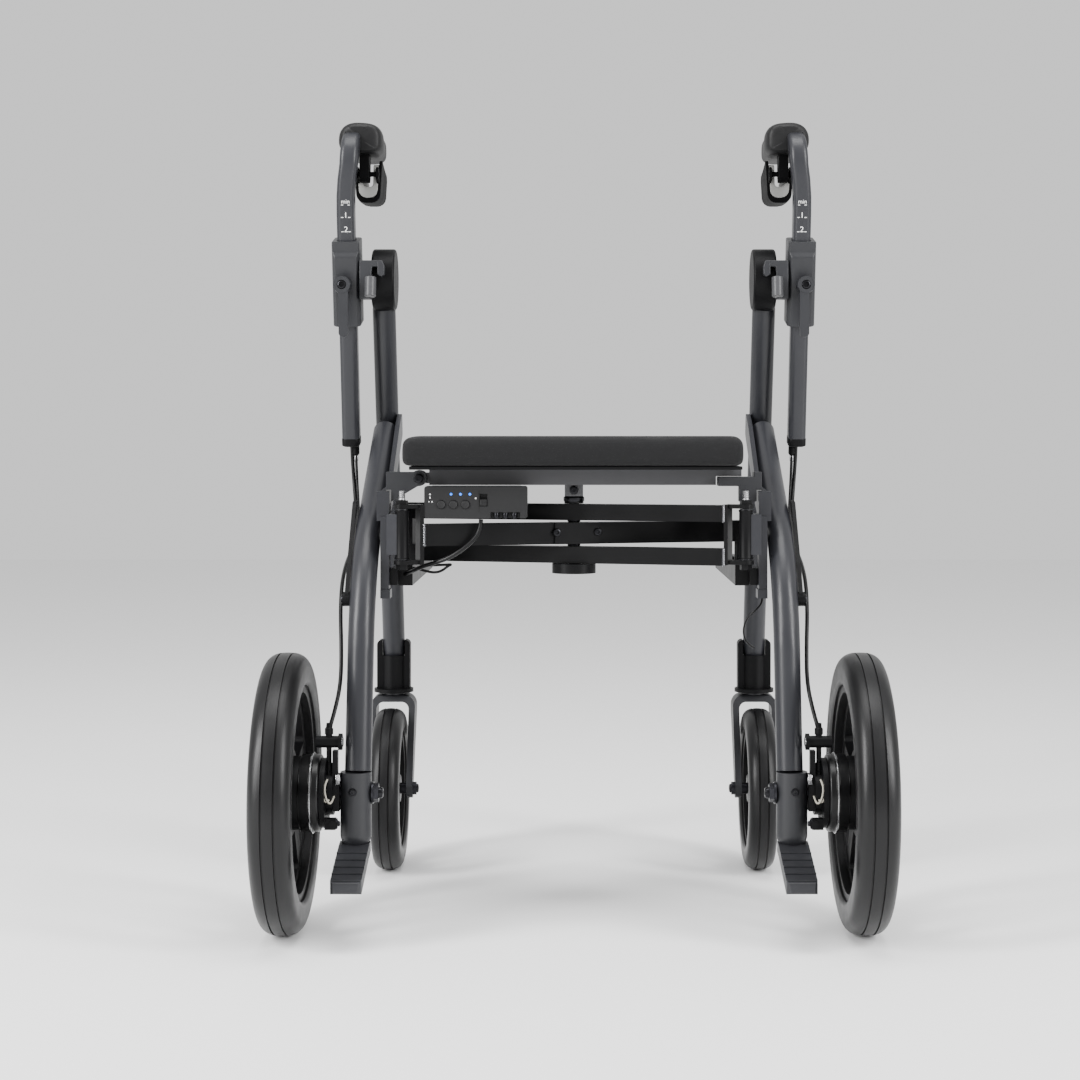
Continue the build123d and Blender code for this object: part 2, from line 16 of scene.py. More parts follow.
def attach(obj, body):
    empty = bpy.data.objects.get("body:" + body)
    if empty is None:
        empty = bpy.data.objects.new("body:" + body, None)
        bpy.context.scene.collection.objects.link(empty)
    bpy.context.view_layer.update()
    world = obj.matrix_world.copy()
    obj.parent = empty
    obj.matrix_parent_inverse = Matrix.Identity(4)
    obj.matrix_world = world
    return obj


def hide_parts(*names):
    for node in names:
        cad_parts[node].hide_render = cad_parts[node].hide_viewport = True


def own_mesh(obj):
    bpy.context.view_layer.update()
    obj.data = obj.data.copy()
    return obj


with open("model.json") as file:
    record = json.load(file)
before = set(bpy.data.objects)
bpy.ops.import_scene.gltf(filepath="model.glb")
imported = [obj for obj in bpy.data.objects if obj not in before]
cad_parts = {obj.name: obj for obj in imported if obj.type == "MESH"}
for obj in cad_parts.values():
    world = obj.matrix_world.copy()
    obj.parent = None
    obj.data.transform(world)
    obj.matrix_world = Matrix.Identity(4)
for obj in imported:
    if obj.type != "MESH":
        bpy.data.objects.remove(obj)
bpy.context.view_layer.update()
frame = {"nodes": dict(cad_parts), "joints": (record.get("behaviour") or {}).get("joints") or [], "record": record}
NODES = frame["nodes"]
JOINTS = {j["name"]: j for j in frame["joints"]}
SIDES = (("left", -1.0), ("right", 1.0))
MM = 0.001
AXLE_Y = JOINTS["left_rear_wheel_spin"]["pos_m"][1]


def at(x, y, z):
    """A point in metres, from millimetres, with y counted forward from the rear axle."""
    return Vector((x * MM, AXLE_Y + y * MM, z * MM))


# ---- camera and light -----------------------------------------------------------------------------

CAMERA_BACK = 2.300  # from the rear axle
CAMERA_HEIGHT = 0.538
FOCAL_SHARE = 1.948  # focal length over the frame's width
SHIFT_X = -0.0314
SHIFT_Y = -0.0926


def make_camera():
    data = bpy.data.cameras.new("camera")
    data.sensor_width = 36.0
    data.lens = FOCAL_SHARE * data.sensor_width
    data.shift_x = SHIFT_X
    data.shift_y = SHIFT_Y
    camera = bpy.data.objects.new("camera", data)
    camera.location = (0.0, AXLE_Y - CAMERA_BACK, CAMERA_HEIGHT)
    camera.rotation_euler = (math.radians(90), 0, 0)
    bpy.context.scene.collection.objects.link(camera)
    bpy.context.scene.camera = camera


def softbox(name, place, target, size, power):
    data = bpy.data.lights.new(name, "AREA")
    data.shape = "RECTANGLE"
    data.size, data.size_y = size
    data.energy = power
    light = bpy.data.objects.new(name, data)
    light.location = place
    aim = Vector(target) - Vector(place)
    light.rotation_euler = aim.to_track_quat("-Z", "Y").to_euler()
    bpy.context.scene.collection.objects.link(light)


def make_studio():
    world = bpy.data.worlds.new("studio")
    bpy.context.scene.world = world
    world.use_nodes = True
    background = world.node_tree.nodes["Background"]
    background.inputs["Color"].default_value = (1.0, 1.0, 1.0, 1.0)
    background.inputs["Strength"].default_value = 0.95
    middle = (0, 0, 0.45)
    softbox("key_left", (-2.3, -1.6, 1.7), middle, (0.6, 2.2), 150)
    softbox("key_right", (2.3, -1.6, 1.7), middle, (0.6, 2.2), 115)
    softbox("top", (0, -0.4, 3.0), middle, (2.0, 1.2), 60)
    bpy.ops.mesh.primitive_plane_add(size=14, location=(0, 0, 0))
    floor = bpy.context.object
    floor.name = "floor"
    paint = bpy.data.materials.new("floor")
    paint.use_nodes = True
    shader = paint.node_tree.nodes["Principled BSDF"]
    shader.inputs["Base Color"].default_value = (0.9, 0.9, 0.9, 1.0)
    shader.inputs["Roughness"].default_value = 0.7
    floor.data.materials.append(paint)


# ---- materials ------------------------------------------------------------------------------------


class Nodes:
    """A short way to build a material's nodes."""

    def __init__(self, name):
        self.material = bpy.data.materials.new(name)
        self.material.use_nodes = True
        self.tree = self.material.node_tree
        self.shader = self.tree.nodes["Principled BSDF"]
        self.place = self.add("ShaderNodeTexCoord").outputs["Object"]

    def add(self, kind, **settings):
        node = self.tree.nodes.new(kind)
        for key, value in settings.items():
            if key in node.inputs:
                node.inputs[key].default_value = value
            else:
                setattr(node, key, value)
        return node

    def link(self, source, target):
        self.tree.links.new(source, target)

    def noise(self, scale, detail=3.0, roughness=0.6):
        node = self.add("ShaderNodeTexNoise", Scale=scale, Detail=detail, Roughness=roughness)
        self.link(self.place, node.inputs["Vector"])
        return node.outputs["Fac"]

    def ramp(self, source, low, high):
        limits = {"From Min": 0.25, "From Max": 0.75, "To Min": low, "To Max": high}
        node = self.add("ShaderNodeMapRange", **limits)
        self.link(source, node.inputs["Value"])
        return node.outputs["Result"]

    def mix(self, factor, first, second):
        node = self.add("ShaderNodeMix", data_type="RGBA")
        self.link(factor, node.inputs["Factor"])
        for socket, value in ((node.inputs[6], first), (node.inputs[7], second)):
            if isinstance(value, tuple):
                socket.default_value = (*value, 1.0)
            else:
                self.link(value, socket)
        return node.outputs[2]

    def bump(self, height, strength, distance, normal=None):
        node = self.add("ShaderNodeBump", Strength=strength, Distance=distance)
        self.link(height, node.inputs["Height"])
        if normal:
            self.link(normal, node.inputs["Normal"])
        return node.outputs["Normal"]

    def worn_edges(self):
        """About 0 on faces and 1 on sharp outer edges, broken up by noise."""
        geometry = self.add("ShaderNodeNewGeometry")
        edge = self.add("ShaderNodeMapRange", **{"From Min": 0.53, "From Max": 0.62})
        self.link(geometry.outputs["Pointiness"], edge.inputs["Value"])
        broken = self.add("ShaderNodeMath", operation="MULTIPLY")
        self.link(edge.outputs["Result"], broken.inputs[0])
        self.link(self.ramp(self.noise(90.0), 0.1, 1.0), broken.inputs[1])
        return broken.outputs["Value"]

    def set(self, **values):
        for key, value in values.items():
            socket = self.shader.inputs[key.replace("_", " ")]
            if isinstance(value, bpy.types.NodeSocket):
                self.link(value, socket)
            elif isinstance(value, tuple):
                socket.default_value = (*value, 1.0)
            else:
                socket.default_value = value
        return self.material


def coated(name, colour, roughness, grain, depth, coat=0.0, wear=0.35, gleam=0.3):
    """Powder coat or moulded plastic: a fine grain, slow changes of tone and gloss, and paler edges."""
    n = Nodes(name)
    pale = tuple(min(1.0, c * 1.6 + 0.004) for c in colour)
    dark = tuple(c * 0.86 for c in colour)
    tone = n.mix(n.ramp(n.noise(14.0), 0.0, 1.0), dark, colour)
    edge = n.add("ShaderNodeMath", operation="MULTIPLY")
    n.link(n.worn_edges(), edge.inputs[0])
    edge.inputs[1].default_value = wear
    tone = n.mix(edge.outputs["Value"], tone, pale)
    gloss = n.ramp(n.noise(30.0), roughness * 0.88, roughness * 1.12)
    normal = n.bump(n.noise(grain, 2.0), 0.5, depth)
    return n.set(Base_Color=tone, Roughness=gloss, Normal=normal, Coat_Weight=coat, Specular_IOR_Level=gleam)


def rubber(name, colour, roughness):
    """Solid tyre rubber: satin, a little dusty, with faint mould marks round it."""
    n = Nodes(name)
    dust = tuple(c * 1.7 + 0.003 for c in colour)
    tone = n.mix(n.ramp(n.noise(9.0, 5.0), 0.0, 0.45), colour, dust)
    gloss = n.ramp(n.noise(22.0, 4.0), roughness * 0.8, roughness * 1.2)
    fine = n.bump(n.noise(900.0, 2.0), 0.35, 0.00025)
    normal = n.bump(n.noise(60.0, 3.0), 0.25, 0.0006, fine)
    return n.set(Base_Color=tone, Roughness=gloss, Normal=normal, Specular_IOR_Level=0.24)


def woven(name, colour, pitch):
    """A plain weave in both directions, with soft pale flecks and a slight sheen."""
    n = Nodes(name)
    heights = []
    for direction in ("X", "Y"):
        wave = n.add("ShaderNodeTexWave", wave_type="BANDS", bands_direction=direction, Scale=pitch,
                     Distortion=1.2)
        wave.inputs["Detail"].default_value = 2.0
        wave.inputs["Detail Scale"].default_value = 3.0
        n.link(n.place, wave.inputs["Vector"])
        heights.append(wave.outputs["Fac"])
    wave = n.add("ShaderNodeTexWave", wave_type="BANDS", bands_direction="Z", Scale=pitch, Distortion=1.2)
    n.link(n.place, wave.inputs["Vector"])
    cross = n.add("ShaderNodeMath", operation="MULTIPLY")
    n.link(heights[0], cross.inputs[0])
    n.link(heights[1], cross.inputs[1])
    total = n.add("ShaderNodeMath", operation="ADD")
    n.link(cross.outputs["Value"], total.inputs[0])
    n.link(wave.outputs["Fac"], total.inputs[1])
    fleck = tuple(c * 3.2 + 0.02 for c in colour)
    speckle = n.add("ShaderNodeMapRange", **{"From Min": 0.62, "From Max": 0.78, "To Max": 0.8})
    n.link(n.noise(1400.0, 2.0), speckle.inputs["Value"])
    tone = n.mix(speckle.outputs["Result"], colour, fleck)
    normal = n.bump(total.outputs["Value"], 0.6, 0.0004)
    return n.set(Base_Color=tone, Roughness=0.85, Normal=normal, Sheen_Weight=0.06, Sheen_Roughness=0.4,
                 Specular_IOR_Level=0.12)


def metal(name, colour, roughness):
    """Bare or blackened metal with a slightly uneven gloss."""
    n = Nodes(name)
    gloss = n.ramp(n.noise(160.0, 4.0), roughness * 0.75, roughness * 1.3)
    normal = n.bump(n.noise(700.0, 2.0), 0.2, 0.00015)
    return n.set(Base_Color=colour, Roughness=gloss, Normal=normal, Metallic=1.0)


def glow(name, colour, strength):
    """A small lamp's lens, which shines in its own colour."""
    n = Nodes(name)
    tone = n.mix(n.ramp(n.noise(400.0), 0.0, 0.03), colour, (1.0, 1.0, 1.0))
    n.shader.inputs["Emission Strength"].default_value = strength
    return n.set(Base_Color=tone, Emission_Color=tone, Roughness=0.3)


LOOKS = {
    "frame_paint": coated("frame_paint", (0.018, 0.0185, 0.022), 0.36, 900.0, 0.00012, gleam=0.34),
    "moulded_grey": coated("moulded_grey", (0.016, 0.0165, 0.019), 0.42, 1500.0, 0.0001, gleam=0.36),
    "black_plastic": coated("black_plastic", (0.0032, 0.0032, 0.0036), 0.46, 1500.0, 0.0001, gleam=0.11),
    "brace_black": coated("brace_black", (0.0025, 0.0025, 0.0028), 0.36, 900.0, 0.0001, gleam=0.15),
    "wheel_plastic": coated("wheel_plastic", (0.0025, 0.0025, 0.0028), 0.4, 1500.0, 0.0001, gleam=0.2),
    "motor_metal": coated("motor_metal", (0.002, 0.002, 0.0022), 0.3, 900.0, 0.00006, gleam=0.28),
    "dark_steel": metal("dark_steel", (0.035, 0.035, 0.04), 0.38),
    "tyre_rubber": rubber("tyre_rubber", (0.0045, 0.0045, 0.0048), 0.36),
    "grip_rubber": rubber("grip_rubber", (0.003, 0.003, 0.0033), 0.5),
    "cable_jacket": coated("cable_jacket", (0.0025, 0.0025, 0.0028), 0.38, 1200.0, 0.0001, gleam=0.25),
    "seat_fabric": woven("seat_fabric", (0.0105, 0.0105, 0.011), 380.0),
    "seat_bar": coated("seat_bar", (0.05, 0.05, 0.054), 0.36, 900.0, 0.00012, gleam=0.5),
    "box_plastic": coated("box_plastic", (0.011, 0.011, 0.0115), 0.5, 1500.0, 0.0001, gleam=0.26),
}
LEVER_BLACK = coated("lever_black", (0.002, 0.002, 0.0022), 0.55, 1500.0, 0.0001, gleam=0.05)
BRIGHT = metal("bright_metal", (0.5, 0.5, 0.51), 0.2)
BRIGHT_DULL = metal("zinc_plate", (0.36, 0.36, 0.37), 0.42)
BLACK_STEEL = metal("black_steel", (0.02, 0.02, 0.022), 0.3)
WELD = metal("weld_bead", (0.16, 0.16, 0.17), 0.32)
PALE = coated("lever_pad", (0.24, 0.24, 0.23), 0.45, 1400.0, 0.0001)
# painted highlight: a lighter copy of the moulded grey for the latch roller
ROLLER_PAINTED_HIGHLIGHT = coated("roller_grey", (0.05, 0.05, 0.053), 0.38, 1400.0, 0.0001)
WHITE = coated("mark_white", (0.75, 0.75, 0.74), 0.6, 1800.0, 0.00005, wear=0.1)
# painted shade: near-black for the hollow of the slot beside the control unit's switch
SLOT_PAINTED_SHADE = coated("slot_black", (0.003, 0.003, 0.003), 0.7, 1500.0, 0.00005, wear=0.1)
PALE_WIRE = coated("wire_sleeve", (0.36, 0.34, 0.29), 0.5, 1500.0, 0.0001)
BLUE = glow("blue_lamp", (0.0, 0.2, 1.0), 0.75)
SMOOTH_ANGLE = math.radians(32)


# ---- mesh building --------------------------------------------------------------------------------

SHARP = math.radians(34)


class Shape:
    """A mesh drawn in millimetres, as a right-hand piece, and mirrored for the left-hand side."""

    def __init__(self, side=1.0):
        self.mesh = bmesh.new()
        self.side = side

    def ring(self, points):
        return [self.mesh.verts.new(at(self.side * x, y, z)) for x, y, z in points]

    def loft(self, rings, closed=False, caps=True):
        """Skins a row of rings that each have the same number of points."""
        made = [self.ring(r) for r in rings]
        pairs = list(zip(made, made[1:])) + ([(made[-1], made[0])] if closed else [])
        for low, high in pairs:
            for i in range(len(low)):
                j = (i + 1) % len(low)
                self.mesh.faces.new((low[i], low[j], high[j], high[i]))
        if caps and not closed:
            self.mesh.faces.new(list(reversed(made[0])))
            self.mesh.faces.new(made[-1])

    def lathe(self, profile, centre, axis=(1, 0, 0), steps=64, closed=False):
        """Turns a profile of (along, radius) points about an axis through centre."""
        direction = Vector(axis).normalized()
        helper = Vector((0, 0, 1)) if abs(direction.z) < 0.9 else Vector((1, 0, 0))
        across = direction.cross(helper).normalized()
        up = direction.cross(across)
        rings = []
        for along, radius in profile:
            middle = Vector(centre) + direction * along
            turns = (2 * math.pi * i / steps for i in range(steps))
            rings.append([middle + (across * math.cos(a) + up * math.sin(a)) * radius for a in turns])
        self.loft(rings, closed=closed)

    def plate(self, outline, low, high, plane="yz"):
        """Extrudes an outline across its plane, from low to high."""
        if plane == "yz":
            rings = [[(x, y, z) for y, z in outline] for x in (low, high)]
        elif plane == "xz":
            rings = [[(x, y, z) for x, z in outline] for y in (low, high)]
        else:
            rings = [[(x, y, z) for x, y in outline] for z in (low, high)]
        self.loft(rings)

    def screw(self, centre, axis, radius, height, socket=0.5):
        """A button-head screw with a hexagonal socket."""
        direction = Vector(axis).normalized()
        helper = Vector((0, 0, 1)) if abs(direction.z) < 0.9 else Vector((1, 0, 0))
        across = direction.cross(helper).normalized()
        up = direction.cross(across)
        steps = 24

        def circle(along, size, hexagon=False):
            points = []
            for i in range(steps):
                a = 2 * math.pi * i / steps
                r = size
                if hexagon:
                    r *= math.cos(math.pi / 6) / math.cos((a % (math.pi / 3)) - math.pi / 6)
                outward = across * math.cos(a) + up * math.sin(a)
                points.append(Vector(centre) + direction * along + outward * r)
            return points

        rings = [circle(-0.5, radius), circle(height * 0.45, radius), circle(height * 0.85, radius * 0.88)]
        rings += [circle(height, radius * 0.68), circle(height, radius * socket, True)]
        rings += [circle(height * 0.25, radius * socket * 0.96, True)]
        self.loft(rings)

    def finish(self, name, body, slot, look=None, bevel=0.0, replaces=(), subdivide=0):
        """Makes the piece, with smooth faces and sharp edges where they should be."""
        bmesh.ops.recalc_face_normals(self.mesh, faces=self.mesh.faces)
        self.mesh.normal_update()
        for face in self.mesh.faces:
            face.smooth = True
        for edge in self.mesh.edges:
            if len(edge.link_faces) == 2 and edge.calc_face_angle(0.0) > SHARP:
                edge.smooth = False
        data = bpy.data.meshes.new(name)
        self.mesh.to_mesh(data)
        self.mesh.free()
        obj = bpy.data.objects.new(name, data)
        bpy.context.scene.collection.objects.link(obj)
        data.materials.append(look or LOOKS[slot])
        if bevel:
            modifier = obj.modifiers.new("bevel", "BEVEL")
            modifier.width = bevel * MM
            modifier.segments = 2
            modifier.limit_method = "ANGLE"
            modifier.angle_limit = SMOOTH_ANGLE
            modifier.harden_normals = True
        if subdivide:
            modifier = obj.modifiers.new("subdivide", "SUBSURF")
            modifier.levels = modifier.render_levels = subdivide
        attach(obj, body)
        if replaces:
            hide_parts(*replaces)
        return obj


def rounded(half_x, half_y, corner, steps=5):
    """The points of a rectangle with rounded corners, round its middle."""
    points = []
    for quarter, (sx, sy) in enumerate(((1, 1), (-1, 1), (-1, -1), (1, -1))):
        cx, cy = sx * (half_x - corner), sy * (half_y - corner)
        for i in range(steps + 1):
            a = math.pi / 2 * (quarter + i / steps)
            points.append((cx + corner * math.cos(a), cy + corner * math.sin(a)))
    return points


def cable(name, body, route, radius, slot="cable_jacket", look=None, side=1.0):
    """A cable along a smooth curve with the route's points as its control points."""
    data = bpy.data.curves.new(name, "CURVE")
    data.dimensions = "3D"
    data.bevel_depth = radius * MM
    data.bevel_resolution = 5
    data.resolution_u = 10
    data.use_fill_caps = True
    spline = data.splines.new("NURBS")
    spline.points.add(len(route) - 1)
    for point, (x, y, z) in zip(spline.points, route):
        point.co = (*at(side * x, y, z), 1.0)
    spline.order_u = 3
    spline.use_endpoint_u = True
    data.materials.append(look or LOOKS[slot])
    obj = bpy.data.objects.new(name, data)
    bpy.context.scene.collection.objects.link(obj)
    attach(obj, body)
    return obj


# ---- handles --------------------------------------------------------------------------------------

LEAN = math.radians(13.1)
HANDLE = (272.0, 229.0, 732.0)
TUBE_HALF = (10.5, 14.0)
GRIP_X = 257.0
GRIP_Z = 896.0
GRIP_Y = (206.0, 322.0)
BEND_R = 24.0
STRAIGHT = 84.0  # how far up the tube stays straight, so that it can slide down into the sleeve


def on_handle(along, x=0.0, depth=0.0):
    """A point beside the handle's axis: along it from the joint, across it, and forward of it."""
    y = HANDLE[1] - along * math.sin(LEAN) + depth * math.cos(LEAN)
    z = HANDLE[2] + along * math.cos(LEAN) + depth * math.sin(LEAN)
    return (HANDLE[0] + x, y, z)


def handle_tube(side, word):
    """The pole, which bends forward at its top into the bar inside the grip."""
    shape = Shape(side)
    section = rounded(*TUBE_HALF, 6.0)
    bend_from = (GRIP_Z - HANDLE[2] - BEND_R * (1 + math.sin(LEAN))) / math.cos(LEAN)
    rings = []
    inward = HANDLE[0] - 264.0

    for along in (-200.0, -120.0, -40.0, 30.0, 60.0, 80.0, 100.0, 120.0, bend_from):
        t = min(1.0, max(0.0, (along - STRAIGHT) / (bend_from - STRAIGHT)))
        shift = -inward * 0.6 * t * t
        rings.append([on_handle(along, u + shift, v) for u, v in section])
    foot = Vector(on_handle(bend_from))
    centre = foot + Vector((0, math.cos(LEAN), math.sin(LEAN))) * BEND_R
    total = math.pi / 2 + LEAN
    for i in range(1, 13):
        share = i / 12
        angle = math.pi + LEAN - total * share
        out = Vector((0, math.cos(angle), math.sin(angle)))
        shift = -inward * (0.6 + 0.4 * share)
        middle = centre + out * BEND_R + Vector((shift, 0, 0))
        squeeze = 1.0 - 0.22 * share
        rings.append([tuple(middle + Vector((u, 0, 0)) - out * (v * squeeze)) for u, v in section])
    last = [Vector(p) for p in rings[-1]]
    rings.append([tuple(p + Vector((0, 60.0, 0))) for p in last])
    shape.loft(rings)
    return shape.finish(f"{word}_handle_tube_bent", f"{word}_handle", "frame_paint", bevel=0.8,
                        replaces=(f"{word}_handle_tube",))


def lever_mount(side, word):
    """The black block under the grip that carries the lever's pivot pin."""
    shape = Shape(side)
    shape.plate([(214, 852), (219, 847), (232, 847), (236, 852), (240, 884), (216, 884)], 245.0, 256.5)
    shape.lathe([(-14.8, 2.4), (-14.3, 3.0), (14.3, 3.0), (14.8, 2.4)], (248, 226, 857), steps=24)
    shape.finish(f"{word}_lever_mount", f"{word}_handle", "black_plastic", look=LEVER_BLACK, bevel=0.8)


def grip(side, word):
    """The palm-shaped grip: wide at its rear end and slimmer towards the fingers."""
    shape = Shape(side)
    stations = ((0.0, 0.72, 0.70), (0.02, 0.86, 0.86), (0.06, 0.96, 0.96), (0.14, 1.0, 1.0),
                (0.3, 1.0, 1.0), (0.48, 0.93, 0.93), (0.66, 0.86, 0.88), (0.82, 0.86, 0.9),
                (0.93, 0.88, 0.93), (0.97, 0.84, 0.88), (0.99, 0.76, 0.78), (1.0, 0.6, 0.62))
    steps = 48
    rings = []
    for share, wide, high in stations:
        y = GRIP_Y[0] + share * (GRIP_Y[1] - GRIP_Y[0])
        ring = []
        for i in range(steps):
            a = 2 * math.pi * i / steps
            c, s = math.cos(a), math.sin(a)
            power = 0.82 if c > 0 else 0.62
            x = (25.0 if c > 0 else 28.0) * wide * math.copysign(abs(c) ** power, c)
            z = (22.5 if s > 0 else 17.0) * high * math.copysign(abs(s) ** power, s)
            z -= 0.05 * max(0.0, -x)
            ring.append((GRIP_X + x, y, GRIP_Z + z))
        rings.append(ring)
    shape.loft(rings)
    return shape.finish(f"{word}_palm_grip", f"{word}_handle", "grip_rubber", bevel=0.6, subdivide=1,
                        replaces=(f"{word}_grip",))


LEVER_SPREAD = 0.0042  # how much wider the lever's section grows for each millimetre of height


def channel(shape, x, y, half, floor, inner, outer, wall, base, corner):
    """A U-shaped channel along Y, with its own height on each side, a thick base and walls that lean out."""
    rings = []
    for share in (0.0, 0.06, 0.3, 0.6, 0.9, 1.0):
        here = y[0] + (y[1] - y[0]) * share
        drop = 1.5 * math.sin(math.pi * share) - 4.0 * share
        trim = 0.9 if share in (0.0, 1.0) else 1.0
        low = floor - drop
        high_in = low + (inner - floor) * (trim - 0.3 * share)
        high_out = low + (outer - floor) * trim
        ring = [(x - half, high_in)]
        ring += [(x - half + corner * (1 - math.cos(a)), low + corner * (1 - math.sin(a)))
                 for a in (0.0, 0.4, 0.8, 1.2, math.pi / 2)]
        ring += [(x + half - corner * (1 - math.sin(a)), low + corner * (1 - math.cos(a)))
                 for a in (0.0, 0.4, 0.8, 1.2, math.pi / 2)]
        ring += [(x + half, high_out), (x + half - wall, high_out)]
        small = max(corner - wall, 1.0)
        ring += [(x + half - wall - small * (1 - math.cos(a)), low + base + small * (1 - math.sin(a)))
                 for a in (0.0, 0.4, 0.8, 1.2, math.pi / 2)]
        ring += [(x - half + wall + small * (1 - math.sin(a)), low + base + small * (1 - math.cos(a)))
                 for a in (0.0, 0.4, 0.8, 1.2, math.pi / 2)]
        ring += [(x - half + wall, high_in)]
        spread = [1.0 + LEVER_SPREAD * (pz - low) for px, pz in ring]
        rings.append([(x + (px - x) * s, here, pz) for (px, pz), s in zip(ring, spread)])
    shape.loft(rings)


def brake_lever(side, word):
    """The black lever with two ears on its pivot, and the pale finger pad set into it."""
    body = f"{word}_brake_lever"
    shell = Shape(side)
    channel(shell, 248.0, (237.0, 317.0), 14.0, 824.0, 876.0, 858.0, 3.0, 7.0, 10.0)
    for x in (234.2, 258.3):
        shell.plate([(219, 852), (228, 849), (242, 846), (242, 862), (228, 866), (219, 862)], x, x + 3.4)
    shell.finish(f"{word}_lever_shell", body, "black_plastic", look=LEVER_BLACK, bevel=0.5, replaces=(body,))
    pad = Shape(side)
    channel(pad, 248.0, (236.0, 312.0), 10.9, 830.2, 871.0, 853.0, 5.4, 13.0, 9.0)
    pad.finish(f"{word}_lever_pad", body, "moulded_grey", look=PALE, bevel=0.6)


def scale_marks(side, word):
    """Generic height marks down the rear face of the handle: min, 1 and 2, with short dashes."""
    bm = bmesh.new()
    for along, text, size in ((92.0, "min", 7.0), (75.0, "1", 9.5), (58.0, "2", 9.5)):
        data = bpy.data.curves.new("mark", "FONT")
        data.body = text
        data.size = size * MM
        data.align_x = "CENTER"
        data.extrude = 0.00006
        obj = bpy.data.objects.new("mark", data)
        bpy.context.scene.collection.objects.link(obj)
        bpy.context.view_layer.update()
        mesh = bpy.data.meshes.new_from_object(obj)
        x, y, z = on_handle(along, -1.0, -TUBE_HALF[1] - 0.05)
        mesh.transform(Matrix.Translation(at(side * x, y, z)) @ Matrix.Rotation(math.pi / 2 + LEAN, 4, "X"))
        bm.from_mesh(mesh)
        bpy.data.objects.remove(obj)
        for sx in (-1, 1):
            dash = Shape(1.0)
            reach = (5.2, 2.6) if text == "min" else (5.6, 2.8)
            low = on_handle(along - (2.2 if text == "min" else 0.0), 0, -TUBE_HALF[1] - 0.1)
            high = on_handle(along - (1.4 if text == "min" else -0.8), 0, -TUBE_HALF[1] - 0.1)
            ring = []
            for end, (_, py, pz) in ((0, low), (1, low), (1, high), (0, high)):
                ring.append((side * x + sx * reach[end], py, pz))
            dash.loft([ring, [(px, py + 0.15, pz) for px, py, pz in ring]])
            bmesh.ops.recalc_face_normals(dash.mesh, faces=dash.mesh.faces)
            piece = bpy.data.meshes.new("dash")
            dash.mesh.to_mesh(piece)
            dash.mesh.free()
            bm.from_mesh(piece)
    mesh = bpy.data.meshes.new(f"{word}_scale_marks")
    bm.to_mesh(mesh)
    bm.free()
    obj = bpy.data.objects.new(f"{word}_scale_marks", mesh)
    bpy.context.scene.collection.objects.link(obj)
    mesh.materials.append(WHITE)
    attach(obj, f"{word}_handle")


def sleeve(side, word):
    """The sleeve that the handle slides in: round at the rear, with a scoop cut into its top."""
    shape = Shape(side)

    def outside(along, grow=0.0):
        points = []
        for u, v in rounded(16.5 + grow, 25.0 + grow, 4.0, 6):
            v -= 2.0
            if v < 0:
                v += 8.0 * (u / 16.5) ** 2 * min(1.0, -v / 20.0)
            limit = -27.0 + min(8.4, max(0.0, along - 23.0) * 0.72)
            points.append(on_handle(along, u, max(v, limit)))
        return points

    def inside(along):
        return [on_handle(along, u, v) for u, v in rounded(TUBE_HALF[0] + 0.5, TUBE_HALF[1] + 0.5, 6.3, 6)]

    levels = [-55.0, -54.0] + [-50.0 + 8.0 * i for i in range(9)] + [18.0, 22.9, 23.1]
    levels += [24.0 + 1.5 * i for i in range(8)] + [35.0, 40.0, 46.0, 47.0]
    rings = [outside(a, -0.8 if a in (-55.0, 47.0) else 0.0) for a in levels]
    rings += [inside(47.0), inside(-55.0)]
    shape.loft(rings, closed=True)
    boss = [(0, 5.0), (0, 10.0), (4, 10.6), (12, 10.6), (12, 5.0)]
    shape.lathe(boss, (275, 195.8, 722), axis=(0, 1, 0), closed=True)
    shape.finish(f"{word}_sleeve_shell", f"{word}_side", "moulded_grey", bevel=0.6,
                 replaces=(f"{word}_handle_sleeve",))


def clamp_screw(side, word):
    """The screw in the middle of the clamp lever's boss."""
    shape = Shape(side)
    shape.screw((275.0, 191.0, 722.0), (0, -1, 0), 5.3, 3.6, 0.55)
    shape.finish(f"{word}_clamp_screw", f"{word}_clamp_lever", "dark_steel", look=BLACK_STEEL)


def joint_latch(side, word):
    """The latch bracket behind the joint disc, with its roller, whose moulded grey is painted lighter as a
    highlight.
    """
    body = f"{word}_side"
    shape = Shape(side)
    bracket = [(225.5, 745), (228, 752), (255.5, 752), (255.5, 706), (241, 706), (239, 722), (241, 736),
               (240, 744)]
    hook = [(225.5, 745), (228, 752), (234, 752), (234, 735), (229, 732), (225.5, 735)]
    shape.plate(bracket, 203.0, 226.0, plane="xz")
    shape.plate(hook, 202.0, 214.0, plane="xz")
    shape.finish(f"{word}_latch_bracket", body, "moulded_grey", bevel=1.2)
    # the roller's grey is lighter than the bracket's moulded grey: painted highlight
    roller = Shape(side)
    roller.lathe([(-12, 6.2), (-11.5, 6.9), (11.5, 6.9), (12, 6.2)], (242.0, 201.0, 720.0),
                 axis=(0, 0.2, 1), steps=32)
    roller.finish(f"{word}_latch_roller", body, "moulded_grey", look=ROLLER_PAINTED_HIGHLIGHT, bevel=0.5)


def tube_end(side, word):
    """The black cap at the lower end of the handle tube, with the cable's two exits."""
    shape = Shape(side)
    cap = [[on_handle(a, u, v) for u, v in rounded(10.9 + g, 14.4 + g, 6.2)] for a, g in
           ((-205.0, -1.2), (-203.8, 0.0), (-196.0, 0.0), (-195.0, -0.3))]
    shape.loft(cap)
    shape.finish(f"{word}_tube_cap", f"{word}_handle", "black_plastic", bevel=0.3)


# ---- wheels ---------------------------------------------------------------------------------------


